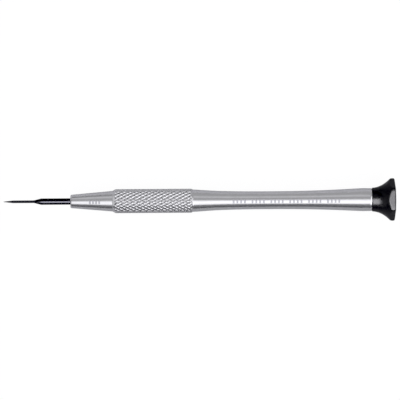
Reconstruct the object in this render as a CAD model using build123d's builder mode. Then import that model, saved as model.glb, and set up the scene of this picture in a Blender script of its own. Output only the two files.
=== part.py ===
"""A watchmaker's screwdriver with an exchangeable blade and a ball-bearing swivel head.

The tool lies along +X. The origin is the middle of the blade's edge, the blade points to -X, and the
head's end is at x = 120. Two of the head's six flats face up and down, and the blade's clamp screw is
underneath. All sizes are in millimetres.
"""

import os
from math import radians, sqrt, tan

from build123d import *

# ---- driving dimensions ----------------------------------------------------------------------------------

overall_length = 120.0

# blade: tool steel, turned, hardened, ground to a wedge at the tip
blade_width = 0.8
tip_thickness = 0.15
wedge_length = 2.9
neck_end = 9.25
cone_end = 11.4
shank_diameter = 1.95
blade_length = 35.0
blade_flat_start = 24.0
blade_flat_depth = 0.225
blade_end_chamfer = 0.2

# handle: one turned aluminium bar with a knurled grip and a waist
nose_face = 20.4
nose_front_radius = 2.06
nose_round = 0.45
nose_back_radius = 3.15
nose_end = 33.3
knurl_start = 34.25
knurl_end = 57.35
knurl_crest_radius = 3.675
shoulder_x = 57.85
shoulder_radius = 3.41
waist_x = 80.0
waist_radius = 2.73
flare_x = 109.7
flare_radius = 3.505
tail_face = 112.5
tail_radius = 3.46
tail_chamfer = 0.2
socket_diameter = 2.0
socket_mouth_chamfer = 0.12

# clamp screw: slotted grub screw, 2 mm nominal, through the underside of the nose
clamp_x = 27.0
clamp_hole_diameter = 2.0
clamp_screw_diameter = 1.94
clamp_screw_length = 1.7
clamp_point_diameter = 1.1
clamp_point_clearance = 0.01
clamp_slot_width = 0.3
clamp_slot_depth = 0.5

# pivot screw: shoulder screw that carries the bearing on the handle's end
pivot_thread_diameter = 2.5
pivot_thread_length = 6.0
pivot_hole_depth = 7.0
pivot_head_diameter = 4.0
pivot_head_height = 1.0
pivot_slot_width = 0.5
pivot_slot_depth = 0.5
pivot_thread_chamfer = 0.25
pivot_head_chamfer = 0.2

# ball bearing: 3 x 6 x 2.5 mm, shielded, seven balls
bearing_bore = 3.0
bearing_outside = 6.0
bearing_width = 2.5
ball_count = 7
ball_diameter = 0.8
race_clearance = 0.02
inner_land_diameter = 3.9
outer_land_diameter = 5.1
shield_thickness = 0.15
shield_inset = 0.12
shield_inner_diameter = 4.04
shield_outer_diameter = 5.24
cage_inner_diameter = 4.16
cage_outer_diameter = 4.84
cage_pocket_clearance = 0.03
cage_front_reach = 0.25
cage_back_reach = 0.75

# swivel head: flared, with six flats, a bearing seat and a domed end cap
head_gap = 0.15
head_neck_radius = 3.63
head_rim_radius = 6.62
head_across_flats = 11.5
head_rim_plane = 119.6
flare_end_x = 118.0
flare_end_radius = 6.25
rim_front_round = 1.08
rim_back_round = 0.5
flat_corner_round = 0.3
head_front_bore_radius = 2.35
spacer_radius = 2.1
spacer_length = 1.85
circlip_thickness = 0.3
circlip_groove_radius = 3.2
circlip_inner_radius = 2.65
circlip_gap_degrees = 50.0
circlip_lug_radius = 0.36
circlip_lug_hole_radius = 0.15
circlip_lug_setback_degrees = 6.0
circlip_land = 0.3
cap_spigot_radius = 3.6
cap_spigot_length = 0.8
cap_spigot_wall = 0.8
cap_radius = 4.6
cap_depth = 0.9
cap_cavity_depth = 0.2

# ---- places worked out from them -------------------------------------------------------------------------

drill_slope = tan(radians(31.0))  # a 118 degree drill point: depth over radius
head_face = tail_face + head_gap
bearing_front = tail_face + spacer_length
bearing_back = bearing_front + bearing_width
bearing_middle = bearing_front + bearing_width / 2
ball_circle_radius = (inner_land_diameter + outer_land_diameter) / 4
circlip_back = bearing_back + circlip_thickness
counterbore_start = circlip_back + circlip_land
cap_seat = head_rim_plane - cap_depth
waist_out = (
    (shoulder_x, shoulder_radius),
    (60.5, shoulder_radius),
    (62.5, waist_radius),
    (waist_x, waist_radius),
)
waist_in = (
    (waist_x, waist_radius),
    (97.0, waist_radius),
    (102.0, 3.18),
    (flare_x, flare_radius),
)
head_flare = (
    (head_face, head_neck_radius),
    (114.9, 3.77),
    (116.6, 4.8),
    (flare_end_x, flare_end_radius),
)


def write(piece, label):
    """Labels a finished piece and writes it as parts/LABEL.step."""
    piece.label = label
    export_step(piece, f"parts/{label}.step")


def drilled_hole(mouth, depth, radius, direction):
    """The outline of a blind hole on the X axis, with a drill point; direction is +1 or -1 along X."""
    floor = mouth + direction * depth
    point = floor + direction * radius * drill_slope
    Polyline((mouth, 0), (mouth, radius), (floor, radius), (point, 0), close=True)


def ring(x_front, x_back, inner_radius, outer_radius):
    """A plain turned ring round the X axis."""
    with BuildPart() as made:
        with BuildSketch(Plane.XY):
            with Locations(((x_front + x_back) / 2, (inner_radius + outer_radius) / 2)):
                Rectangle(x_back - x_front, outer_radius - inner_radius)
        revolve(axis=Axis.X)
    return made.part


# ---- blade group -----------------------------------------------------------------------------------------


def make_blade():
    """Shank, cone and neck are turned, the tip is ground on both sides, the shank has a clamp flat."""
    neck = blade_width / 2
    shank = shank_diameter / 2
    with BuildPart() as blade:
        with BuildSketch(Plane.XY):
            with BuildLine():
                Polyline(
                    (0, 0),
                    (0, neck),
                    (neck_end, neck),
                    (cone_end, shank),
                    (blade_length - blade_end_chamfer, shank),
                    (blade_length, shank - blade_end_chamfer),
                    (blade_length, 0),
                    close=True,
                )
            make_face()
        revolve(axis=Axis.X)
        with BuildSketch(Plane.XY):
            with BuildLine():
                Polyline(
                    (0, tip_thickness / 2),
                    (wedge_length, neck),
                    (wedge_length, 2 * neck),
                    (0, 2 * neck),
                    close=True,
                )
            make_face()
            mirror(about=Plane.XZ)
        extrude(amount=neck, both=True, mode=Mode.SUBTRACT)
        flat_length = blade_length - blade_flat_start
        with Locations((blade_flat_start + flat_length / 2, 0, -shank)):
            Box(flat_length, shank_diameter, 2 * blade_flat_depth, mode=Mode.SUBTRACT)
    return blade.part


def make_clamp_screw():
    """A slotted grub screw, point up against the blade's flat."""
    point_z = -(shank_diameter / 2 - blade_flat_depth) - clamp_point_clearance
    radius = clamp_screw_diameter / 2
    point = clamp_point_diameter / 2
    with BuildPart() as screw:
        with BuildSketch(Plane.XZ):
            with BuildLine():
                Polyline(
                    (0, point_z),
                    (point, point_z),
                    (radius, point_z - (radius - point)),
                    (radius, point_z - clamp_screw_length),
                    (0, point_z - clamp_screw_length),
                    close=True,
                )
            make_face()
        revolve(axis=Axis.Z)
        with Locations((0, 0, point_z - clamp_screw_length)):
            Box(clamp_screw_diameter * 2, clamp_slot_width, 2 * clamp_slot_depth, mode=Mode.SUBTRACT)
    return screw.part.moved(Location((clamp_x, 0, 0)))


# ---- handle ----------------------------------------------------------------------------------------------


def make_handle():
    """The bar: nose cone, grip band at the knurl's crest, waist, and the flared end, with its three holes."""
    chamfer_top = tail_radius - tail_chamfer
    with BuildPart() as handle:
        with BuildSketch(Plane.XY):
            with BuildLine():
                Line((nose_face, 0), (nose_face, nose_front_radius - nose_round))
                corner = RadiusArc(
                    (nose_face, nose_front_radius - nose_round),
                    (nose_face + nose_round, nose_front_radius),
                    nose_round,
                )
                Polyline(
                    corner @ 1,
                    (nose_end, nose_back_radius),
                    (knurl_start, knurl_crest_radius),
                    (knurl_end, knurl_crest_radius),
                    (shoulder_x, shoulder_radius),
                )
                Bezier(*waist_out)
                Bezier(*waist_in)
                Polyline(
                    (flare_x, flare_radius),
                    (tail_face - tail_chamfer, tail_radius),
                    (tail_face, chamfer_top),
                    (tail_face, 0),
                    (nose_face, 0),
                )
            make_face()
        revolve(axis=Axis.X)
        with BuildSketch(Plane.XY):
            with BuildLine():
                drilled_hole(nose_face, blade_length - nose_face, socket_diameter / 2, 1)
            make_face()
            with BuildLine():
                mouth = socket_diameter / 2 + socket_mouth_chamfer
                Polyline(
                    (nose_face, 0),
                    (nose_face, mouth),
                    (nose_face + socket_mouth_chamfer, mouth - socket_mouth_chamfer),
                    (nose_face + socket_mouth_chamfer, 0),
                    close=True,
                )
            make_face()
            with BuildLine():
                drilled_hole(tail_face, pivot_hole_depth, pivot_thread_diameter / 2, -1)
            make_face()
        revolve(axis=Axis.X, mode=Mode.SUBTRACT)
        with Locations((clamp_x, 0, -nose_back_radius / 2)):
            Cylinder(clamp_hole_diameter / 2, nose_back_radius, mode=Mode.SUBTRACT)
    return handle.part


def make_pivot_screw():
    """Shoulder screw: thread in the handle, shoulder through the spacer and the bearing, slotted head."""
    thread = pivot_thread_diameter / 2
    shoulder = bearing_bore / 2
    head = pivot_head_diameter / 2
    head_back = bearing_back + pivot_head_height
    with BuildPart() as screw:
        with BuildSketch(Plane.XY):
            with BuildLine():
                Polyline(
                    (tail_face - pivot_thread_length, 0),
                    (tail_face - pivot_thread_length, thread - pivot_thread_chamfer),
                    (tail_face - pivot_thread_length + pivot_thread_chamfer, thread),
                    (tail_face, thread),
                    (tail_face, shoulder),
                    (bearing_back, shoulder),
                    (bearing_back, head),
                    (head_back - pivot_head_chamfer, head),
                    (head_back, head - pivot_head_chamfer),
                    (head_back, 0),
                    close=True,
                )
            make_face()
        revolve(axis=Axis.X)
        with Locations((head_back, 0, 0)):
            Box(2 * pivot_slot_depth, pivot_slot_width, 2 * pivot_head_diameter, mode=Mode.SUBTRACT)
    return screw.part


# ---- ball bearing ----------------------------------------------------------------------------------------


def race_ring(inner_radius, outer_radius):
    """One bearing ring, with the groove that the balls run in."""
    with BuildPart() as race:
        with BuildSketch(Plane.XY):
            with Locations((bearing_middle, (inner_radius + outer_radius) / 2)):
                Rectangle(bearing_width, outer_radius - inner_radius)
            with Locations((bearing_middle, ball_circle_radius)):
                Circle(ball_diameter / 2 + race_clearance, mode=Mode.SUBTRACT)
        revolve(axis=Axis.X)
    return race.part


def make_inner_ring():
    """The ring that the pivot screw clamps."""
    return race_ring(bearing_bore / 2, inner_land_diameter / 2)


def make_outer_ring():
    """The ring that turns with the head, with a step at each face for a shield."""
    outer = race_ring(outer_land_diameter / 2, bearing_outside / 2)
    step = shield_inset + shield_thickness
    with BuildPart() as stepped:
        add(outer)
        for edge in (bearing_front + step / 2, bearing_back - step / 2):
            with Locations(Location((edge, 0, 0), (0, 90, 0))):
                Cylinder(shield_outer_diameter / 2, step, mode=Mode.SUBTRACT)
    return stepped.part


def make_cage():
    """A crown cage: one ring with seven pockets, open towards the handle."""
    pocket = ball_diameter / 2 + cage_pocket_clearance
    with BuildPart() as cage:
        add(
            ring(
                bearing_middle - cage_front_reach,
                bearing_middle + cage_back_reach,
                cage_inner_diameter / 2,
                cage_outer_diameter / 2,
            )
        )
        with Locations(Plane(origin=(bearing_middle, 0, 0), z_dir=(1, 0, 0))):
            with PolarLocations(ball_circle_radius, ball_count):
                Sphere(pocket, mode=Mode.SUBTRACT)
    return cage.part


def make_balls():
    """The seven balls, each a piece of its own."""
    circle = Plane(origin=(bearing_middle, 0, 0), z_dir=(1, 0, 0))
    spots = [circle * spot for spot in PolarLocations(ball_circle_radius, ball_count).local_locations]
    balls = []
    for spot in spots:
        with BuildPart() as ball:
            with Locations(spot):
                Sphere(ball_diameter / 2)
        balls.append(ball.part)
    return balls


def shield(x_front):
    """A thin steel washer that closes one face of the bearing."""
    return ring(x_front, x_front + shield_thickness, shield_inner_diameter / 2, shield_outer_diameter / 2)


# ---- swivel head -----------------------------------------------------------------------------------------


def make_swivel_head():
    """The flared shell: turned outside and in, then milled with six flats round the rim."""
    below_rim = rim_front_round - head_rim_radius + flare_end_radius
    rim_start = flare_end_x + sqrt(rim_front_round**2 - below_rim**2)
    back_round = rim_back_round
    with BuildPart() as head:
        with BuildSketch(Plane.XY):
            with BuildLine():
                Line((head_face, 0), (head_face, head_neck_radius))
                Bezier(*head_flare)
                RadiusArc((flare_end_x, flare_end_radius), (rim_start, head_rim_radius), rim_front_round)
                Line((rim_start, head_rim_radius), (head_rim_plane - back_round, head_rim_radius))
                RadiusArc(
                    (head_rim_plane - back_round, head_rim_radius),
                    (head_rim_plane, head_rim_radius - back_round),
                    back_round,
                )
                Polyline((head_rim_plane, head_rim_radius - back_round), (head_rim_plane, 0), (head_face, 0))
            make_face()
        revolve(axis=Axis.X)
        with BuildSketch(Plane.YZ.offset(head_face)) as flats:
            RegularPolygon(head_across_flats / 2, 6, major_radius=False)
            fillet(flats.vertices(), flat_corner_round)
        extrude(amount=head_rim_plane - head_face, mode=Mode.INTERSECT)
        with BuildSketch(Plane.XY):
            with BuildLine():
                Polyline(
                    (head_face, 0),
                    (head_face, head_front_bore_radius),
                    (bearing_front, head_front_bore_radius),
                    (bearing_front, bearing_outside / 2),
                    (bearing_back, bearing_outside / 2),
                    (bearing_back, circlip_groove_radius),
                    (circlip_back, circlip_groove_radius),
                    (circlip_back, bearing_outside / 2),
                    (counterbore_start, bearing_outside / 2),
                    (counterbore_start, cap_spigot_radius),
                    (cap_seat, cap_spigot_radius),
                    (cap_seat, cap_radius),
                    (head_rim_plane, cap_radius),
                    (head_rim_plane, 0),
                    close=True,
                )
            make_face()
        revolve(axis=Axis.X, mode=Mode.SUBTRACT)
    return head.part


def make_circlip():
    """The internal retaining ring that holds the bearing in the head, with its two plier lugs."""
    half_gap = circlip_gap_degrees / 2
    half_lug_spread = half_gap + circlip_lug_setback_degrees
    with BuildPart() as circlip:
        with BuildSketch(Plane(origin=(bearing_back, 0, 0), x_dir=(0, 1, 0), z_dir=(1, 0, 0))):
            Circle(circlip_groove_radius)
            Circle(circlip_inner_radius, mode=Mode.SUBTRACT)
            opening = 2 * circlip_groove_radius
            half_width = opening * tan(radians(half_gap))
            with BuildLine():
                Polyline((0, 0), (opening, half_width), (opening, -half_width), close=True)
            make_face(mode=Mode.SUBTRACT)
            with PolarLocations(
                circlip_inner_radius,
                2,
                start_angle=-half_lug_spread,
                angular_range=2 * half_lug_spread,
                endpoint=True,
            ):
                Circle(circlip_lug_radius)
                Circle(circlip_lug_hole_radius, mode=Mode.SUBTRACT)
        extrude(amount=circlip_thickness)
    return circlip.part


def make_end_cap():
    """The domed disc that closes the head, with a hollow spigot that presses into the counterbore."""
    spigot_front = cap_seat - cap_spigot_length
    cavity_radius = cap_spigot_radius - cap_spigot_wall
    dome_height = overall_length - head_rim_plane
    dome_radius = (cap_radius**2 + dome_height**2) / (2 * dome_height)
    with BuildPart() as cap:
        with BuildSketch(Plane.XY):
            with BuildLine():
                Polyline(
                    (overall_length, 0),
                    (cap_seat + cap_cavity_depth, 0),
                    (cap_seat + cap_cavity_depth, cavity_radius),
                    (spigot_front, cavity_radius),
                    (spigot_front, cap_spigot_radius),
                    (cap_seat, cap_spigot_radius),
                    (cap_seat, cap_radius),
                    (head_rim_plane, cap_radius),
                )
                RadiusArc((head_rim_plane, cap_radius), (overall_length, 0), dome_radius)
            make_face()
        revolve(axis=Axis.X)
    return cap.part


# ---- write every piece -----------------------------------------------------------------------------------

os.makedirs("parts", exist_ok=True)

write(make_blade(), "blade")
write(make_clamp_screw(), "blade_clamp_screw")
write(make_handle(), "handle_body")
write(make_pivot_screw(), "pivot_screw")
write(ring(tail_face, bearing_front, bearing_bore / 2, spacer_radius), "bearing_spacer")
write(make_inner_ring(), "bearing_inner_ring")
write(make_outer_ring(), "bearing_outer_ring")
write(make_cage(), "bearing_cage")
for number, ball in enumerate(make_balls(), start=1):
    write(ball, f"bearing_ball_{number}")
write(shield(bearing_front + shield_inset), "bearing_shield_front")
write(shield(bearing_back - shield_inset - shield_thickness), "bearing_shield_back")
write(make_swivel_head(), "swivel_head")
write(make_circlip(), "bearing_circlip")
write(make_end_cap(), "head_end_cap")
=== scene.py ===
from math import cos, pi, radians, sin, sqrt, tan

import bmesh
import bpy
import numpy as np
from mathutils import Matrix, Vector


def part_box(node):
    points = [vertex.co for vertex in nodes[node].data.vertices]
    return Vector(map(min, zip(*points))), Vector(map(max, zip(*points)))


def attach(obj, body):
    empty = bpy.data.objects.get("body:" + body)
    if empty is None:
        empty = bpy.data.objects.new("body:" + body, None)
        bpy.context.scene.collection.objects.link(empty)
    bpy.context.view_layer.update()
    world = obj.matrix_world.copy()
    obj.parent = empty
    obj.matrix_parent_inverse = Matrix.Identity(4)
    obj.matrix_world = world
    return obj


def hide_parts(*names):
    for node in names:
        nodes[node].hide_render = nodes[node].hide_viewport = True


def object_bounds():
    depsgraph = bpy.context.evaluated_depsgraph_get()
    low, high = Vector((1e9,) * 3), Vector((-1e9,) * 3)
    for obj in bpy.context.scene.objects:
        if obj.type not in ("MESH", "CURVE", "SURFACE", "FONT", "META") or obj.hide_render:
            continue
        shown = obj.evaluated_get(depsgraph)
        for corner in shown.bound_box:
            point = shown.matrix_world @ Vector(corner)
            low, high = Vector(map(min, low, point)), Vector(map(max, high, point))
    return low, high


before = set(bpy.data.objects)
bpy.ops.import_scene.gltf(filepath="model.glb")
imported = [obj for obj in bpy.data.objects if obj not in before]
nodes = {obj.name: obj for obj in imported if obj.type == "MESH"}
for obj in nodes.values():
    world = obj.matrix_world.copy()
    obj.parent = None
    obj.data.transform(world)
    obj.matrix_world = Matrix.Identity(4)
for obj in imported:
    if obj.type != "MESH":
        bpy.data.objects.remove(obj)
cad_low, cad_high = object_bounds()

# ---- Camera --------------------------------------------------------------------------------------
# A long lens straight above the tool, far enough away to take in its whole length. The tool lies a
# third of a degree out of square with the picture, with its blade a little low.

mm = 0.001
camera_height = 750 * mm
view_width = 122.36 * mm
tool_turn = radians(0.36)
camera_past_middle = 0.03 * mm
camera_beyond_axis = 0.2 * mm
nearest_seen = 0.01
farthest_seen = 20
centre = (cad_low + cad_high) / 2

camera_data = bpy.data.cameras.new("studio_camera")
camera_data.lens = camera_data.sensor_width * camera_height / view_width
camera_data.clip_start = nearest_seen
camera_data.clip_end = farthest_seen
camera = bpy.data.objects.new("studio_camera", camera_data)
camera.location = (centre.x + camera_past_middle, camera_beyond_axis, camera_height)
camera.rotation_euler = (0, 0, -tool_turn)
bpy.context.scene.collection.objects.link(camera)
bpy.context.scene.camera = camera

# Tones as the eye sees them, with the deepest shade printed as black.
deepest_shade = 0.022
print_settings = bpy.context.scene.view_settings
print_settings.view_transform = "Standard"
print_settings.use_curve_mapping = True
print_settings.curve_mapping.black_level = (deepest_shade,) * 3

# ---- Studio: sheet, lamps and boards -------------------------------------------------------------
# The tool lies on a pale matt sheet, on one flat of its head. A long soft box hangs over it, a
# little to the near side, with weaker ones to the right and on the far side. Boards on the near
# side and to the left draw the shade lines along it.


def linear(hex_colour):
    """An sRGB hex colour such as "#a0a0a8" as the linear red, green, blue and alpha that a socket
    takes."""
    channels = np.array([int(hex_colour[i : i + 2], 16) / 255 for i in (1, 3, 5)])
    low_part = channels / 12.92
    high_part = ((channels + 0.055) / 1.055) ** 2.4
    return (*np.where(channels <= 0.04045, low_part, high_part), 1.0)


def add(tree, kind, inputs=(), **settings):
    """Adds one node to a tree. Settings are its own properties; inputs are pairs of a socket, by
    its name or number, and what goes in it, either a value or the output socket of another node."""
    made = tree.nodes.new(kind)
    for name, value in settings.items():
        setattr(made, name, value)
    for socket, value in inputs:
        if isinstance(value, bpy.types.NodeSocket):
            tree.links.new(value, made.inputs[socket])
        else:
            made.inputs[socket].default_value = value
    return made


def new_tree(name):
    """A new material with nothing in it but its output: returns the material, its node tree and
    that output."""
    material = bpy.data.materials.new(name)
    material.use_nodes = True
    material.node_tree.nodes.clear()
    return material, material.node_tree, material.node_tree.nodes.new("ShaderNodeOutputMaterial")


def flat_board(name, corners):
    """A stage board with four corners, in metres."""
    mesh = bpy.data.meshes.new(name)
    mesh.from_pydata(corners, [], [(0, 1, 2, 3)])
    board = bpy.data.objects.new(name, mesh)
    bpy.context.scene.collection.objects.link(board)
    return board


# Matt white card, printed nearly pure white: the eye sees only a trace of the shade under the tool,
# and the metal sees the light grey that the card really gives back.
sheet_z = cad_low.z
sheet_half = 4.0
print_share = 0.9
print_strength = 1.06
sheet = flat_board(
    "white_sheet",
    [(x * sheet_half, y * sheet_half, sheet_z) for x, y in ((-1, -1), (1, -1), (1, 1), (-1, 1))],
)
matt_card, tree, out = new_tree("matt_white_card")
seen = add(tree, "ShaderNodeLightPath")
share = add(
    tree,
    "ShaderNodeMath",
    [(0, seen.outputs["Is Camera Ray"]), (1, print_share)],
    operation="MULTIPLY",
)
card = add(tree, "ShaderNodeBsdfDiffuse", [("Color", linear("#d7d7d9")), ("Roughness", 1.0)])
print_white = add(
    tree, "ShaderNodeEmission", [("Color", (1, 1, 1, 1)), ("Strength", print_strength)]
)
card_shade = add(
    tree,
    "ShaderNodeMixShader",
    [(0, share.outputs[0]), (1, card.outputs[0]), (2, print_white.outputs[0])],
)
tree.links.new(card_shade.outputs[0], out.inputs["Surface"])
sheet.data.materials.append(matt_card)


def soft_box(name, distance, lean, half_angles, radiance, only_on=None):
    """A rectangular lamp that faces the middle of the tool from that distance, in metres. lean
    gives how far it stands from upright, in degrees towards +X and towards +Y, and half_angles how
    many degrees it takes in on each side of its middle, along and across the tool. A lamp of area s
    that shines radiance l in every direction gives pi s l watts. only_on is a collection of pieces:
    then the lamp lights those alone."""
    lean_x, lean_y = np.radians(lean)
    data = bpy.data.lights.new(name, "AREA")
    data.shape = "RECTANGLE"
    data.color = linear("#fbfaff")[:3]
    data.size, data.size_y = 2 * distance * np.tan(np.radians(half_angles))
    data.energy = pi * data.size * data.size_y * radiance
    lamp = bpy.data.objects.new(name, data)
    upright = np.array((cos(lean_y) * sin(lean_x), sin(lean_y), cos(lean_y) * cos(lean_x)))
    lamp.location = np.array((centre.x, 0, 0)) + distance * upright
    lamp.rotation_euler = (-lean_y, lean_x, 0)
    lamp.visible_camera = False
    if only_on:
        lamp.light_linking.receiver_collection = only_on
    bpy.context.scene.collection.objects.link(lamp)
    return data


# The main box is bright in the middle and fades towards its long edges: its grid holds the light
# within 39 degrees of straight ahead, so radiance falls as 1 - tan(a) / tan(39), and the watts
# above are shared out over less. The black pieces have two boxes of their own, because their gloss
# gives back so little of what they see.
grid_angle = radians(39)
main_box = soft_box("soft_box_over", 0.9, lean=(0, -22), half_angles=(30, 25), radiance=1.6)
main_box.spread = 2 * grid_angle
main_box.energy *= 1 - grid_angle / tan(grid_angle)
black_parts = bpy.data.collections.new("black_parts")
soft_box(
    "soft_box_over_black_parts",
    0.8,
    lean=(0, -20),
    half_angles=(40, 25),
    radiance=18,
    only_on=black_parts,
)
soft_box(
    "soft_box_behind_black_parts",
    1.1,
    lean=(75, -10),
    half_angles=(14, 30),
    radiance=7,
    only_on=black_parts,
)
soft_box("soft_box_right", 1.0, lean=(37, -12), half_angles=(14, 40), radiance=1.5)
soft_box("soft_box_far", 1.2, lean=(-29, 46), half_angles=(34, 10), radiance=0.25)

# Boards hang a metre or so from the tool: a grey one on the near side with a darker foot, a still
# darker one to the left and a white card under that. Only shiny surfaces see them.


def hung_board(name, corners, shade):
    """A board that gives off an even light of its own, in place of the light that a felt or a card
    returns."""
    board = flat_board(name, corners)
    board.visible_camera = False
    board.visible_shadow = False
    board.visible_diffuse = False
    cloth, tree, out = new_tree(name + "_cloth")
    cloth_light = add(tree, "ShaderNodeEmission", [("Color", linear(shade)), ("Strength", 1.0)])
    tree.links.new(cloth_light.outputs[0], out.inputs["Surface"])
    board.data.materials.append(cloth)


def upright_board(name, ends, bottom, top, shade):
    """A hung board that stands on the line between two points of the sheet, from bottom to top."""
    (x1, y1), (x2, y2) = ends
    hung_board(name, [(x1, y1, bottom), (x2, y2, bottom), (x2, y2, top), (x1, y1, top)], shade)


near_ends = ((-3, -1), (3, -1))
foot_top = 0.3
upright_board("near_board", near_ends, bottom=foot_top, top=0.95, shade="#8e8e92")
upright_board("near_board_foot", near_ends, bottom=sheet_z, top=foot_top, shade="#69696d")
left_ends = ((-0.5, -1), (-0.5, 3))
card_top = 0.43
upright_board("left_board", left_ends, bottom=card_top, top=0.9, shade="#56565a")
upright_board("left_card", left_ends, bottom=0.15, top=card_top, shade="#efeff2")

# The room round it is an even light grey to the metal, and prints as white as the sheet.
room_grey = 0.56
room_print = 1.05
room = bpy.data.worlds.new("plain_room")
room.use_nodes = True
room_light = room.node_tree.nodes["Background"]
room_light.inputs["Color"].default_value = linear("#fcfcff")
seen = add(room.node_tree, "ShaderNodeLightPath")
strength = add(
    room.node_tree,
    "ShaderNodeMapRange",
    [("Value", seen.outputs["Is Camera Ray"]), ("To Min", room_grey), ("To Max", room_print)],
)
room.node_tree.links.new(strength.outputs[0], room_light.inputs["Strength"])
bpy.context.scene.world = room

# ---- Handle body ---------------------------------------------------------------------------------
# One aluminium bar, turned all over: nose cone, knurled grip, long waist and flared end. The knurl
# is rolled in by two wheels of opposite hand. The bar is then bored at both ends, drilled for the
# clamp screw and anodised.

handle_low, handle_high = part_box("handle_body")
nose_face = handle_low.x / mm
tail_face = handle_high.x / mm
crest_radius = handle_high.y / mm

nose_round = 0.45
nose_front_radius = 2.06
nose_corner = (33.26, 3.1465)
nose_back = (33.3, 3.15)
knurl_from = 34.25
knurl_to = 57.35
shoulder = (57.85, 3.41)
waist_out = (shoulder, (60.5, 3.41), (62.5, 2.73), (80.0, 2.73))
waist_in = ((80.0, 2.73), (97.0, 2.73), (102.0, 3.18), (109.7, 3.505))
tail_radius = 3.46
tail_edge = (
    (tail_face - 0.15, tail_radius),
    (tail_face - 0.03, tail_radius - 0.05),
    (tail_face, tail_radius - 0.08),
)
socket_radius = 1.0
socket_depth = 14.6
socket_chamfer = 0.12
tapped_radius = 1.25
tapped_depth = 7.0
drill_point = tan(radians(31))

diamonds_round = 20
right_hand_pitch = 1.99
left_hand_pitch = 1.78
knurl_depth = 0.22
knurl_crest_flat = 0.55
left_hand_share = 0.88


def run(start, end, count):
    """A straight stretch of an outline as count points, without its last one."""
    share = np.linspace(0, 1, count, endpoint=False)[:, None]
    return np.array(start) * (1 - share) + np.array(end) * share


def bend(points, count):
    """A cubic curve with control points p0 to p3, without its end:
    (1-t)^3 p0 + 3(1-t)^2 t p1 + 3(1-t) t^2 p2 + t^3 p3."""
    p0, p1, p2, p3 = np.array(points, float)
    t = np.linspace(0, 1, count, endpoint=False)[:, None]
    return (1 - t) ** 3 * p0 + 3 * (1 - t) ** 2 * t * p1 + 3 * (1 - t) * t**2 * p2 + t**3 * p3


def arc(middle, radius, start, end, count):
    """A round stretch of an outline: middle + radius (cos a, sin a), for angles a in degrees,
    without its end."""
    a = np.radians(np.linspace(start, end, count, endpoint=False))[:, None]
    return np.array(middle) + radius * np.hstack((np.cos(a), np.sin(a)))


def round_bar(x, r, a):
    """A plain turned surface, (x, r cos a, r sin a)."""
    return x, r * np.cos(a), r * np.sin(a)


def face_outwards(mesh):
    """Turns a closed mesh right side out: the volume that its triangles enclose, which goes with
    the sum of a . (b x c) over their corners, must be positive."""
    corners = np.zeros(len(mesh.vertices) * 3, np.float32)
    mesh.vertices.foreach_get("co", corners)
    corners = corners.reshape(-1, 3).astype(float)
    mesh.calc_loop_triangles()
    triangles = np.zeros(len(mesh.loop_triangles) * 3, np.int32)
    mesh.loop_triangles.foreach_get("vertices", triangles)
    a, b, c = corners[triangles.reshape(-1, 3)].transpose(1, 0, 2)
    if np.einsum("ij,ij->i", a, np.cross(b, c)).sum() < 0:
        mesh.flip_normals()


weld_distance = 0.0002 * mm


def lathe(name, outline, columns, shape=round_bar):
    """A closed turned solid. x and r follow the outline's points, a goes once round, and
    shape(x, r, a) gives the surface's three coordinates in millimetres. An outline that starts on
    the axis ends on it too, and its ends close to a point; any other is a ring and closes on
    itself. The UV map is the length round and the length along the outline, in millimetres."""
    ring = outline[0, 1] > 0
    rows = len(outline)
    once_round = np.linspace(0, 2 * pi, columns, endpoint=False)
    x, a = np.meshgrid(outline[:, 0], once_round, indexing="ij")
    points = np.stack(shape(x, outline[:, 1:] + 0 * a, a), axis=-1).reshape(-1, 3) * mm
    i, j = np.meshgrid(np.arange(rows if ring else rows - 1), np.arange(columns), indexing="ij")
    corner_i = np.stack((i, i, i + 1, i + 1), axis=-1).reshape(-1, 4)
    corner_j = np.stack((j, j + 1, j + 1, j), axis=-1).reshape(-1, 4)
    quads = corner_i % rows * columns + corner_j % columns
    mesh = bpy.data.meshes.new(name)
    mesh.from_pydata(points, [], quads.tolist())
    steps = np.diff(np.vstack((outline, outline[:1])), axis=0)
    along = np.concatenate(([0], np.cumsum(np.hypot(steps[:, 0], steps[:, 1]))))
    girth = 2 * pi * outline[:, 1].max()
    uv = np.stack((corner_j / columns * girth, along[corner_i]), axis=-1)
    layer = mesh.uv_layers.new(name="around_and_along")
    layer.data.foreach_set("uv", uv.astype(np.float32).ravel())
    merged = bmesh.new()
    merged.from_mesh(mesh)
    bmesh.ops.remove_doubles(merged, verts=merged.verts, dist=weld_distance)
    merged.to_mesh(mesh)
    merged.free()
    face_outwards(mesh)
    return mesh


crease_angle = radians(35)


def finish_mesh(mesh, body, replaced, material):
    """Smooths the faces but for the creases, and puts the piece in the frame in place of the node
    it stands for."""
    mesh.polygons.foreach_set("use_smooth", np.ones(len(mesh.polygons), bool))
    mesh.set_sharp_from_angle(angle=crease_angle)
    mesh.materials.append(material)
    piece = bpy.data.objects.new(mesh.name, mesh)
    bpy.context.scene.collection.objects.link(piece)
    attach(piece, body)
    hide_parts(replaced)
    return piece


def ridge(turns):
    """A saw of straight flanks: 0 where turns is a whole number and 1 half way between."""
    return 1 - np.abs(2 * (turns % 1) - 1)


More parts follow.
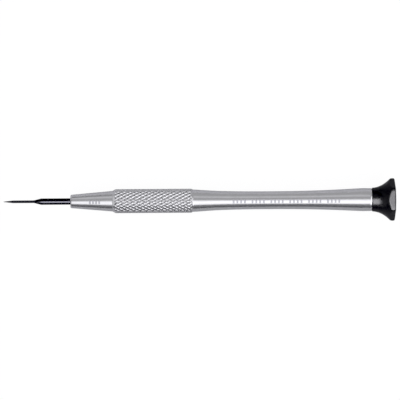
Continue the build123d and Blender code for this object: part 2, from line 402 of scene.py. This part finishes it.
def knurled(x, r, a):
    """The grip's surface. Two sets of V grooves wind round it at about 30 degrees to the axis, one
    each way, along the lines where n a / 2 pi + x / p and n a / 2 pi - x / q are whole numbers; the
    second wheel bit a little less deep. The height at a point is the lower of its two ridges, cut
    off below their tops for the crest flats. The grooves are cut into the outline, so they run out
    on the chamfer at the front, and they fade out over the one at the back."""
    turns = diamonds_round * a / (2 * pi)
    left_hand = 1 - left_hand_share * (1 - ridge(turns - x / left_hand_pitch))
    height = np.minimum(ridge(turns + x / right_hand_pitch), left_hand)
    height = np.minimum(height / (1 - knurl_crest_flat), 1)
    fade = np.clip((shoulder[0] - x) / (shoulder[0] - knurl_to), 0, 1)
    r = np.minimum(r, crest_radius - knurl_depth * (1 - height) * fade)
    return x, r * np.cos(a), r * np.sin(a)


knurl_rows = 172
nose_face_radius = nose_front_radius - nose_round
socket_mouth = (nose_face + socket_chamfer, socket_radius)
outline = np.vstack(
    (
        [(nose_face + socket_depth + socket_radius * drill_point, 0)],
        run((nose_face + socket_depth, socket_radius), socket_mouth, 14),
        run(socket_mouth, (nose_face, socket_radius + socket_chamfer), 2),
        run((nose_face, socket_radius + socket_chamfer), (nose_face, nose_face_radius), 3),
        arc((nose_face + nose_round, nose_face_radius), nose_round, 180, 90, 7),
        run((nose_face + nose_round, nose_front_radius), nose_corner, 21),
        run(nose_corner, nose_back, 1),
        run(nose_back, (knurl_from, crest_radius), 10),
        run((knurl_from, crest_radius), (knurl_to, crest_radius), knurl_rows),
        run((knurl_to, crest_radius), shoulder, 5),
        bend(waist_out, 26),
        bend(waist_in, 22),
        run(waist_in[3], tail_edge[0], 5),
        run(tail_edge[0], tail_edge[1], 2),
        run(tail_edge[1], tail_edge[2], 1),
        run(tail_edge[2], (tail_face, tapped_radius), 4),
        run((tail_face, tapped_radius), (tail_face - tapped_depth, tapped_radius), 6),
        [(tail_face - tapped_depth, tapped_radius)],
        [(tail_face - tapped_depth - tapped_radius * drill_point, 0)],
    )
)
handle_mesh = lathe("turned_handle", outline, columns=320, shape=knurled)

# The clamp screw's hole goes from the blade's socket out through the underside of the nose.
clamp_low, clamp_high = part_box("blade_clamp_screw")
clamp_x = (clamp_low.x + clamp_high.x) / 2 / mm
clamp_hole_radius = 1.0
clamp_hole_top = -0.4
drill_columns = 64


def cut(mesh, tool):
    """The mesh with the tool's space taken out of it, under the same name."""
    name = mesh.name
    whole = bpy.data.objects.new(name, mesh)
    taken = bpy.data.objects.new("tool", tool)
    for thing in (whole, taken):
        bpy.context.scene.collection.objects.link(thing)
    modifier = whole.modifiers.new("cut", "BOOLEAN")
    modifier.object = taken
    modifier.solver = "EXACT"
    depsgraph = bpy.context.evaluated_depsgraph_get()
    left = bpy.data.meshes.new_from_object(whole.evaluated_get(depsgraph))
    for thing in (whole, taken):
        bpy.data.objects.remove(thing)
    for old in (mesh, tool):
        bpy.data.meshes.remove(old)
    left.name = name
    return left


def drill(x, z_top, z_foot, radius):
    """A drill that stands upright at x: a round bar, (x + r cos a, r sin a, z), from z_top down to
    z_foot. It is turned by half a column, so that none of its edges meets an edge of the handle."""
    turn = pi / drill_columns
    return lathe(
        "tool",
        np.array([(z_top, 0), (z_top, radius), (z_foot, radius), (z_foot, 0)]),
        drill_columns,
        lambda z, r, a: (x + r * np.cos(a + turn), r * np.sin(a + turn), z),
    )


handle_mesh = cut(handle_mesh, drill(clamp_x, clamp_hole_top, -nose_back[1], clamp_hole_radius))

# Clear anodised aluminium, fine turned: a satin metal whose tool marks run round it and stretch
# each highlight along the tool. The feed marks are 0.08 mm apart; they are drawn three times as
# coarse so that they show.
feed = 0.25
change_round = 0.12

# The sockets of a Mix node that take its two colours or its two numbers, and the one that gives a
# mixed colour. Most of a noise lies between the two values after them.
colour_a, colour_b, mixed_colour = 6, 7, 2
number_a, number_b = 2, 3
noise_low, noise_high = 0.3, 0.7


def new_finish(name):
    """A new material, its node tree, its output, and a node that gives the piece's own coordinates
    in millimetres."""
    material, tree, out = new_tree(name)
    place = add(tree, "ShaderNodeTexCoord")
    per_metre = (1 / mm, 1 / mm, 1 / mm)
    inputs = [("Vector", place.outputs["Object"]), ("Scale", per_metre)]
    return material, tree, out, add(tree, "ShaderNodeMapping", inputs)


anodised, tree, out, millimetres = new_finish("clear_anodised_turned_aluminium")
rings = add(
    tree,
    "ShaderNodeMapping",
    [("Vector", millimetres.outputs[0]), ("Scale", (1 / feed, change_round, change_round))],
)
ring_noise = add(
    tree,
    "ShaderNodeTexNoise",
    [("Vector", rings.outputs[0]), ("Scale", 1.0), ("Detail", 4.0), ("Roughness", 0.6)],
)
cloud = add(
    tree,
    "ShaderNodeTexNoise",
    [("Vector", millimetres.outputs[0]), ("Scale", 0.35), ("Detail", 3.0)],
)
tone = add(
    tree,
    "ShaderNodeMix",
    [
        ("Factor", cloud.outputs["Fac"]),
        (colour_a, linear("#c6c6c7")),
        (colour_b, linear("#cfcfd0")),
    ],
    data_type="RGBA",
)
sheen = add(
    tree,
    "ShaderNodeMapRange",
    [
        ("Value", ring_noise.outputs["Fac"]),
        ("From Min", noise_low),
        ("From Max", noise_high),
        ("To Min", 0.14),
        ("To Max", 0.22),
    ],
)
marks_bump = add(
    tree,
    "ShaderNodeBump",
    [("Height", ring_noise.outputs["Fac"]), ("Strength", 0.25), ("Distance", 0.004 * mm)],
)
around = add(tree, "ShaderNodeTangent", direction_type="UV_MAP", uv_map="around_and_along")


def etched_row(first_x, pitch, count, width, height, middle_y):
    """1 inside a row of short plain bars that the laser has frosted on top of the handle, and 0
    elsewhere. A point passes if it is within a bar's width of its step, in one of the first four
    steps of each five, within the row's length and height, and on the upper side."""
    maths = "ShaderNodeMath"
    at = add(tree, "ShaderNodeSeparateXYZ", [("Vector", millimetres.outputs[0])]).outputs
    from_first = add(tree, maths, [(0, at["X"]), (1, first_x)], operation="SUBTRACT")
    steps = add(tree, maths, [(0, from_first.outputs[0]), (1, pitch)], operation="DIVIDE")
    into_step = add(tree, maths, [(0, steps.outputs[0])], operation="FRACT")
    whole_steps = add(tree, maths, [(0, steps.outputs[0])], operation="FLOOR")
    of_five = add(tree, maths, [(0, whole_steps.outputs[0]), (1, 5.0)], operation="MODULO")
    tests = (
        ("LESS_THAN", into_step.outputs[0], width / pitch),
        ("LESS_THAN", of_five.outputs[0], 3.5),
        ("COMPARE", steps.outputs[0], count / 2, count / 2),
        ("COMPARE", at["Y"], middle_y, height / 2),
        ("GREATER_THAN", at["Z"], 0.0),
    )
    passed = 1.0
    for operation, *values in tests:
        test = add(tree, maths, enumerate(values), operation=operation)
        both = add(tree, maths, [(0, test.outputs[0]), (1, passed)], operation="MULTIPLY")
        passed = both.outputs[0]
    return passed


nose_row = etched_row(first_x=26.2, pitch=0.95, count=4, width=0.5, height=1.2, middle_y=-0.25)
waist_row = etched_row(first_x=70.0, pitch=1.15, count=29, width=0.55, height=1.2, middle_y=-0.3)
frosted = add(tree, "ShaderNodeMath", [(0, nose_row), (1, waist_row)], operation="MAXIMUM")
final_tone = add(
    tree,
    "ShaderNodeMix",
    [
        ("Factor", frosted.outputs[0]),
        (colour_a, tone.outputs[mixed_colour]),
        (colour_b, linear("#b6b6ba")),
    ],
    data_type="RGBA",
)
frosted_roughness = 0.42
final_sheen = add(
    tree,
    "ShaderNodeMix",
    [("Factor", frosted.outputs[0]), (number_a, sheen.outputs[0]), (number_b, frosted_roughness)],
    data_type="FLOAT",
)
metal = add(
    tree,
    "ShaderNodeBsdfPrincipled",
    [
        ("Base Color", final_tone.outputs[mixed_colour]),
        ("Metallic", 1.0),
        ("Roughness", final_sheen.outputs[0]),
        ("Anisotropic", 0.5),
        ("Tangent", around.outputs[0]),
        ("Normal", marks_bump.outputs[0]),
    ],
)
tree.links.new(metal.outputs[0], out.inputs["Surface"])
finish_mesh(handle_mesh, "handle", "handle_body", anodised)

# ---- Blade ---------------------------------------------------------------------------------------
# A length of tool steel wire, turned to a cone and a thin neck, hardened, and ground to a wedge at
# the tip. The shank has a flat ground along its rear third for the clamp screw. Hardening has left
# it blue-black.

blade_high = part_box("blade")[1]
blade_length = blade_high.x / mm
shank_radius = blade_high.z / mm
neck_radius = 0.4
tip_half = 0.075
wedge_length = 2.9
neck_end = 9.25
cone_end = 11.4
clamp_flat_from = 24.0
clamp_flat_depth = 0.225
clamp_flat_step = 0.01
end_chamfer = 0.2


def ground(x, r, a):
    """The turned blade, (x, r cos a, r sin a), with its flats: y is held within half the wedge's
    thickness, which grows evenly from the edge to the neck, and z stays above the clamp flat behind
    the point where that starts."""
    half = tip_half + (neck_radius - tip_half) * np.clip(x / wedge_length, 0, 1)
    y = np.clip(r * np.cos(a), -half, half)
    floor = np.where(x > clamp_flat_from, -shank_radius + clamp_flat_depth, -2 * shank_radius)
    z = np.maximum(r * np.sin(a), floor)
    y = np.where(x > wedge_length, r * np.cos(a), y)
    return x, y, z


clamp_flat_start = (clamp_flat_from + clamp_flat_step, shank_radius)
blade_end = (blade_length, shank_radius - end_chamfer)
outline = np.vstack(
    (
        [(0, 0)],
        run((0, neck_radius), (wedge_length, neck_radius), 16),
        run((wedge_length, neck_radius), (neck_end, neck_radius), 8),
        run((neck_end, neck_radius), (cone_end, shank_radius), 8),
        run((cone_end, shank_radius), (clamp_flat_from, shank_radius), 8),
        run((clamp_flat_from, shank_radius), clamp_flat_start, 1),
        run(clamp_flat_start, (blade_length - end_chamfer, shank_radius), 8),
        run((blade_length - end_chamfer, shank_radius), blade_end, 2),
        [blade_end],
        [(blade_length, 0)],
    )
)
blade_mesh = lathe("ground_blade", outline, columns=96, shape=ground)

# Hardened and blackened tool steel: nearly black, with a satin shine, and faint grinding lines
# round it, nine to the millimetre. Over the cone the tone darkens from the shank's to the neck's.
lines_per_mm = 9.0
line_change_round = 0.6
shank_tone_from = cone_end + 1.0
blackened, tree, out, millimetres = new_finish("blackened_tool_steel")
grind = add(
    tree,
    "ShaderNodeMapping",
    [
        ("Vector", millimetres.outputs[0]),
        ("Scale", (lines_per_mm, line_change_round, line_change_round)),
    ],
)
grind_noise = add(
    tree,
    "ShaderNodeTexNoise",
    [("Vector", grind.outputs[0]), ("Scale", 1.0), ("Detail", 4.0), ("Roughness", 0.6)],
)
shank_tone = add(
    tree,
    "ShaderNodeMix",
    [
        ("Factor", grind_noise.outputs["Fac"]),
        (colour_a, linear("#1e1e21")),
        (colour_b, linear("#2c2c2f")),
    ],
    data_type="RGBA",
)
along = add(tree, "ShaderNodeSeparateXYZ", [("Vector", millimetres.outputs[0])])
behind_neck = add(
    tree,
    "ShaderNodeMapRange",
    [("Value", along.outputs["X"]), ("From Min", neck_end), ("From Max", shank_tone_from)],
)
tone = add(
    tree,
    "ShaderNodeMix",
    [
        ("Factor", behind_neck.outputs[0]),
        (colour_a, linear("#121214")),
        (colour_b, shank_tone.outputs[mixed_colour]),
    ],
    data_type="RGBA",
)
sheen = add(
    tree,
    "ShaderNodeMapRange",
    [
        ("Value", grind_noise.outputs["Fac"]),
        ("From Min", noise_low),
        ("From Max", noise_high),
        ("To Min", 0.16),
        ("To Max", 0.3),
    ],
)
lines = add(
    tree,
    "ShaderNodeBump",
    [("Height", grind_noise.outputs["Fac"]), ("Strength", 0.3), ("Distance", 0.004 * mm)],
)
steel = add(
    tree,
    "ShaderNodeBsdfPrincipled",
    [
        ("Base Color", tone.outputs[mixed_colour]),
        ("Metallic", 1.0),
        ("Roughness", sheen.outputs[0]),
        ("Normal", lines.outputs[0]),
    ],
)
tree.links.new(steel.outputs[0], out.inputs["Surface"])
black_parts.objects.link(finish_mesh(blade_mesh, "blade", "blade", blackened))

# ---- Clamp screw ---------------------------------------------------------------------------------
# A 2 mm slotted grub screw of black oxide steel, cut from threaded rod. Its point bears on the
# blade's flat.

thread_pitch = 0.4
thread_depth = 0.2
screw_radius = clamp_high.y / mm
screw_point_z = clamp_high.z / mm
screw_end_z = clamp_low.z / mm
point_radius = 0.55
point_height = 0.42
end_bevel_height = 0.1
end_bevel_depth = 0.15
thread_margin = 0.02
under_thread = screw_radius - 0.021
slot_width = 0.3
slot_depth = 0.5
slot_tool_reach = 2
slot_tool_below = 1


def threaded(z, r, a):
    """A screw thread, (r cos a, r sin a, z) about the screw's axis: where the rod is at its full
    radius, the radius falls by the thread's depth in a V that winds down by one pitch each turn."""
    groove = ridge(a / (2 * pi) + z / thread_pitch)
    r = np.where(r > screw_radius - thread_margin, r - thread_depth * (1 - groove), r)
    return clamp_x + r * np.cos(a), r * np.sin(a), z


thread_top = screw_point_z - point_height
thread_foot = screw_end_z + end_bevel_height
screw_end = (screw_end_z, screw_radius - end_bevel_depth)
outline = np.vstack(
    (
        [(screw_point_z, 0)],
        run((screw_point_z, point_radius), (thread_top, under_thread), 4),
        run((thread_top, screw_radius), (thread_foot, screw_radius), 40),
        run((thread_foot, under_thread), screw_end, 3),
        [screw_end],
        [(screw_end_z, 0)],
    )
)
screw_mesh = lathe("threaded_clamp_screw", outline, columns=64, shape=threaded)

# The slot is sawn across its lower end with a tool that comes from below.
slot_tool = bpy.data.meshes.new("tool")
slot_corners = [
    (clamp_x + reach, side * slot_width / 2, z)
    for reach in (-slot_tool_reach, slot_tool_reach)
    for side in (-1, 1)
    for z in (screw_end_z - slot_tool_below, screw_end_z + slot_depth)
]
slot_sides = [(0, 1, 3, 2), (4, 6, 7, 5), (0, 4, 5, 1), (2, 3, 7, 6), (0, 2, 6, 4), (1, 5, 7, 3)]
slot_tool.from_pydata((np.array(slot_corners) * mm).tolist(), [], slot_sides)
face_outwards(slot_tool)
screw_mesh = cut(screw_mesh, slot_tool)

# Black oxide on steel: a matt blue-black film a few micrometres thick, worn grey by the jeweller's
# driver.
oxide, tree, out, millimetres = new_finish("black_oxide_steel")
patches = add(
    tree,
    "ShaderNodeTexNoise",
    [("Vector", millimetres.outputs[0]), ("Scale", 3.0), ("Detail", 5.0)],
)
tone = add(
    tree,
    "ShaderNodeMix",
    [
        ("Factor", patches.outputs["Fac"]),
        (colour_a, linear("#505056")),
        (colour_b, linear("#76767c")),
    ],
    data_type="RGBA",
)
film = add(
    tree,
    "ShaderNodeBsdfPrincipled",
    [("Base Color", tone.outputs[mixed_colour]), ("Metallic", 1.0), ("Roughness", 0.38)],
)
tree.links.new(film.outputs[0], out.inputs["Surface"])
finish_mesh(screw_mesh, "clamp_screw", "blade_clamp_screw", oxide)

# ---- Pivot screw, spacer and ball bearing --------------------------------------------------------
# These sit inside the head, so their machined solids stay as they are and only take their finish:
# plated screw and spacer, ground and polished bearing steel, a pressed brass cage and a phosphated
# spring ring.

grain_stretch = 8


def fine_metal(name, dark, light, roughness, grain):
    """A metal whose colour wanders between two tones, with polishing grain of that size in
    millimetres along the tool, and stretched round it."""
    material, tree, out, millimetres = new_finish(name)
    across = 1 / grain
    around = across / grain_stretch
    grains = add(
        tree,
        "ShaderNodeMapping",
        [("Vector", millimetres.outputs[0]), ("Scale", (across, around, around))],
    )
    noise = add(
        tree,
        "ShaderNodeTexNoise",
        [("Vector", grains.outputs[0]), ("Scale", 1.0), ("Detail", 4.0)],
    )
    tone = add(
        tree,
        "ShaderNodeMix",
        [("Factor", noise.outputs["Fac"]), (colour_a, linear(dark)), (colour_b, linear(light))],
        data_type="RGBA",
    )
    bump = add(
        tree,
        "ShaderNodeBump",
        [("Height", noise.outputs["Fac"]), ("Strength", 0.2), ("Distance", 0.003 * mm)],
    )
    metal = add(
        tree,
        "ShaderNodeBsdfPrincipled",
        [
            ("Base Color", tone.outputs[mixed_colour]),
            ("Metallic", 1.0),
            ("Roughness", roughness),
            ("Normal", bump.outputs[0]),
        ],
    )
    tree.links.new(metal.outputs[0], out.inputs["Surface"])
    return material


# Zinc plate is a soft bright grey, polished bearing steel comes close to a mirror, pressed brass is
# a warm satin, and phosphate a dull dark grey.
zinc = fine_metal("bright_zinc_plate", "#b4b5b8", "#c9cacc", roughness=0.26, grain=0.2)
bearing_steel = fine_metal(
    "polished_bearing_steel", "#c4c5c8", "#d3d4d6", roughness=0.1, grain=0.15
)
cage_brass = fine_metal("pressed_brass", "#b08a45", "#c9a45c", roughness=0.3, grain=0.3)
phosphated = fine_metal("phosphated_spring_steel", "#35363a", "#4a4b4f", roughness=0.45, grain=0.1)

balls = [name for name in sorted(nodes) if name.startswith("bearing_ball_")]
rings = ["bearing_inner_ring", "bearing_outer_ring"]
shields = ["bearing_shield_front", "bearing_shield_back"]
finishes = {
    zinc: ["pivot_screw", "bearing_spacer"],
    bearing_steel: rings + shields + balls,
    cage_brass: ["bearing_cage"],
    phosphated: ["bearing_circlip"],
}
for finish, names in finishes.items():
    for name in names:
        nodes[name].data.materials.clear()
        nodes[name].data.materials.append(finish)

# ---- Swivel head ---------------------------------------------------------------------------------
# A black shell that flares from the handle's diameter to a rim with six flats, which stop the tool
# rolling. It is turned inside for the bearing, its spring ring and the cap, and every edge of the
# flats is softly rounded.

head_low, head_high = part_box("swivel_head")
head_face = head_low.x / mm
rim_plane = head_high.x / mm
flat_distance = head_high.z / mm
front_radius = 3.63
front_edge = 0.1
flare = ((head_face + front_edge, front_radius), (114.9, 3.77), (116.6, 4.8), (118.0, 6.25))
rim_radius = 6.62
rim_front_round = 1.08
rim_back_round = 0.5
flat_edge_blend = 0.42
corner_power = 110
front_bore = 2.35
front_bore_chamfer = 0.15
bearing_seat = 3.0
spring_groove = 3.2
spring_land = 0.3
counterbore = 3.6
bearing_front, bearing_back = (corner.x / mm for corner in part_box("bearing_outer_ring"))
ring_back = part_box("bearing_circlip")[1].x / mm
cap_low, cap_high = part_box("head_end_cap")
cap_radius = cap_high.y / mm
cap_seat_depth = 0.9
cap_seat = rim_plane - cap_seat_depth
cap_edge = 0.1
tolerance = 0.0001


def hexagon(a, flat):
    """The distance from the axis to a hexagon's side in direction a, for flats at that distance
    that face up and down: flat / p-norm over the six sides of cos(a - side). A high power p leaves
    its corners slightly rounded."""
    sides = np.radians(np.arange(30, 390, 60))
    facing = np.maximum(np.cos(a[..., None] - sides), 0)
    return flat / (facing**corner_power).sum(axis=-1) ** (1 / corner_power)


def softer_minimum(p, q, blend):
    """The lower of p and q, with the corner between them rounded off over that width: the minimum
    less h^2 blend / 4, where h falls evenly from 1 where they are equal to 0 where they differ by
    blend."""
    h = np.clip(1 - np.abs(p - q) / blend, 0, 1)
    return np.minimum(p, q) - h * h * blend / 4


def milled(x, r, a):
    """The head's shell. Outside, the turned radius is limited to the hexagon, whose sides draw in
    by rho - sqrt(rho^2 - d^2) over the last rho before the rim plane, which rounds their back edge.
    On the rim plane the rows keep their shares of the way in from that edge to the cap's recess."""
    into_round = np.clip(x - (rim_plane - rim_back_round), 0, rim_back_round)
    drawn_in = rim_back_round - np.sqrt(rim_back_round**2 - into_round**2)
    limited = softer_minimum(r, hexagon(a, flat_distance - drawn_in), flat_edge_blend)
    inner = cap_radius + cap_edge
    outer = rim_radius - rim_back_round
    plane_edge = softer_minimum(outer, hexagon(a, flat_distance - rim_back_round), flat_edge_blend)
    on_plane = inner + (r - inner) / (outer - inner) * (plane_edge - inner)
    turned = np.where(x > rim_plane - tolerance, on_plane, limited)
    return round_bar(x, np.where(r > inner - tolerance, turned, r), a)


flare_end = flare[3]
front_middle_r = rim_radius - rim_front_round
front_middle_x = flare_end[0] + sqrt(rim_front_round**2 - (flare_end[1] - front_middle_r) ** 2)
front_start = 180 - np.degrees(np.arcsin((flare_end[1] - front_middle_r) / rim_front_round))
rim_back_middle = (rim_plane - rim_back_round, rim_radius - rim_back_round)
front_bore_mouth = (head_face, front_bore + front_bore_chamfer)
land_back = ring_back + spring_land
outline = np.vstack(
    (
        run((bearing_front, front_bore), (head_face + front_bore_chamfer, front_bore), 6),
        run((head_face + front_bore_chamfer, front_bore), front_bore_mouth, 3),
        run(front_bore_mouth, (head_face, front_radius - front_edge), 4),
        run((head_face, front_radius - front_edge), (head_face + front_edge, front_radius), 3),
        bend(flare, 44),
        arc((front_middle_x, front_middle_r), rim_front_round, front_start, 90, 12),
        run((front_middle_x, rim_radius), (rim_plane - rim_back_round, rim_radius), 8),
        arc(rim_back_middle, rim_back_round, 90, 0, 10),
        run((rim_plane, rim_radius - rim_back_round), (rim_plane, cap_radius + cap_edge), 8),
        run((rim_plane, cap_radius + cap_edge), (rim_plane - cap_edge, cap_radius), 3),
        run((rim_plane - cap_edge, cap_radius), (cap_seat, cap_radius), 4),
        run((cap_seat, cap_radius), (cap_seat, counterbore), 3),
        run((cap_seat, counterbore), (land_back, counterbore), 5),
        run((land_back, counterbore), (land_back, bearing_seat), 3),
        run((land_back, bearing_seat), (ring_back, bearing_seat), 2),
        run((ring_back, bearing_seat), (ring_back, spring_groove), 2),
        run((ring_back, spring_groove), (bearing_back, spring_groove), 2),
        run((bearing_back, spring_groove), (bearing_back, bearing_seat), 2),
        run((bearing_back, bearing_seat), (bearing_front, bearing_seat), 6),
        run((bearing_front, bearing_seat), (bearing_front, front_bore), 3),
    )
)
head_mesh = lathe("flared_head", outline, columns=420, shape=milled)

# Black acetal, turned and milled, then tumbled to a satin shine: a very deep black whose only light
# is the gloss on it. The tumbling leaves a faint unevenness of 0.3 mm and fine scuffs. Acetal's
# index of 1.48 is brought down, because a scuffed face gives back less than a polished one.
acetal_ior = 1.31


def black_acetal(tree, out, marks, roughness, swell, swell_strength):
    """Wires up black acetal: its tone and its roughness, between two values, follow the marks, and
    its surface rises and falls with the swell."""
    tone = add(
        tree,
        "ShaderNodeMix",
        [("Factor", marks), (colour_a, linear("#050505")), (colour_b, linear("#0a0a0b"))],
        data_type="RGBA",
    )
    smooth, rough = roughness
    sheen = add(
        tree,
        "ShaderNodeMapRange",
        [
            ("Value", marks),
            ("From Min", noise_low),
            ("From Max", noise_high),
            ("To Min", smooth),
            ("To Max", rough),
        ],
    )
    ripple = add(
        tree,
        "ShaderNodeBump",
        [("Height", swell), ("Strength", swell_strength), ("Distance", 0.006 * mm)],
    )
    gloss = add(
        tree,
        "ShaderNodeBsdfPrincipled",
        [
            ("Base Color", tone.outputs[mixed_colour]),
            ("IOR", acetal_ior),
            ("Roughness", sheen.outputs[0]),
            ("Normal", ripple.outputs[0]),
        ],
    )
    tree.links.new(gloss.outputs[0], out.inputs["Surface"])


acetal, tree, out, millimetres = new_finish("satin_black_acetal")
uneven = add(
    tree,
    "ShaderNodeTexNoise",
    [("Vector", millimetres.outputs[0]), ("Scale", 3.3), ("Detail", 3.0)],
)
scuffs = add(
    tree,
    "ShaderNodeTexNoise",
    [("Vector", millimetres.outputs[0]), ("Scale", 9.0), ("Detail", 6.0), ("Distortion", 2.0)],
)
black_acetal(
    tree,
    out,
    marks=scuffs.outputs["Fac"],
    roughness=(0.22, 0.32),
    swell=uneven.outputs["Fac"],
    swell_strength=0.3,
)
black_parts.objects.link(finish_mesh(head_mesh, "head", "swivel_head", acetal))

# ---- End cap -------------------------------------------------------------------------------------
# A low black dome that presses into the head and closes it; the fingertip rests on it. It is turned
# from the same black acetal, and the lathe has left faint rings on it.

cap_top = cap_high.x / mm
cap_front = cap_low.x / mm
dome_height = cap_top - rim_plane
dome_radius = (cap_radius**2 + dome_height**2) / (2 * dome_height)
dome_edge_angle = np.degrees(np.arcsin((cap_radius - cap_edge) / dome_radius))
spigot_radius = 3.6
spigot_inside = 2.8
cap_inside = cap_seat + 0.2
outline = np.vstack(
    (
        arc((cap_top - dome_radius, 0), dome_radius, 0, dome_edge_angle, 30),
        run((rim_plane, cap_radius - cap_edge), (rim_plane - cap_edge, cap_radius), 3),
        run((rim_plane - cap_edge, cap_radius), (cap_seat, cap_radius), 4),
        run((cap_seat, cap_radius), (cap_seat, spigot_radius), 3),
        run((cap_seat, spigot_radius), (cap_front, spigot_radius), 4),
        run((cap_front, spigot_radius), (cap_front, spigot_inside), 3),
        run((cap_front, spigot_inside), (cap_inside, spigot_inside), 4),
        run((cap_inside, spigot_inside), (cap_inside, 0), 8),
        [(cap_inside, 0)],
    )
)
cap_mesh = lathe("domed_end_cap", outline, columns=180)

# The lathe's rings are centred on the axis, five to the millimetre.
rings_per_mm = 5.0
turned_acetal, tree, out, millimetres = new_finish("turned_black_acetal")
from_axis = add(
    tree, "ShaderNodeMapping", [("Vector", millimetres.outputs[0]), ("Scale", (0, 1, 1))]
)
distance = add(tree, "ShaderNodeVectorMath", [(0, from_axis.outputs[0])], operation="LENGTH")
ring_count = add(
    tree,
    "ShaderNodeMath",
    [(0, distance.outputs["Value"]), (1, rings_per_mm)],
    operation="MULTIPLY",
)
tool_rings = add(
    tree,
    "ShaderNodeTexNoise",
    [("W", ring_count.outputs[0]), ("Scale", 1.0), ("Detail", 3.0)],
    noise_dimensions="1D",
)
black_acetal(
    tree,
    out,
    marks=tool_rings.outputs["Fac"],
    roughness=(0.2, 0.34),
    swell=tool_rings.outputs["Fac"],
    swell_strength=0.35,
)
black_parts.objects.link(finish_mesh(cap_mesh, "head", "head_end_cap", turned_acetal))
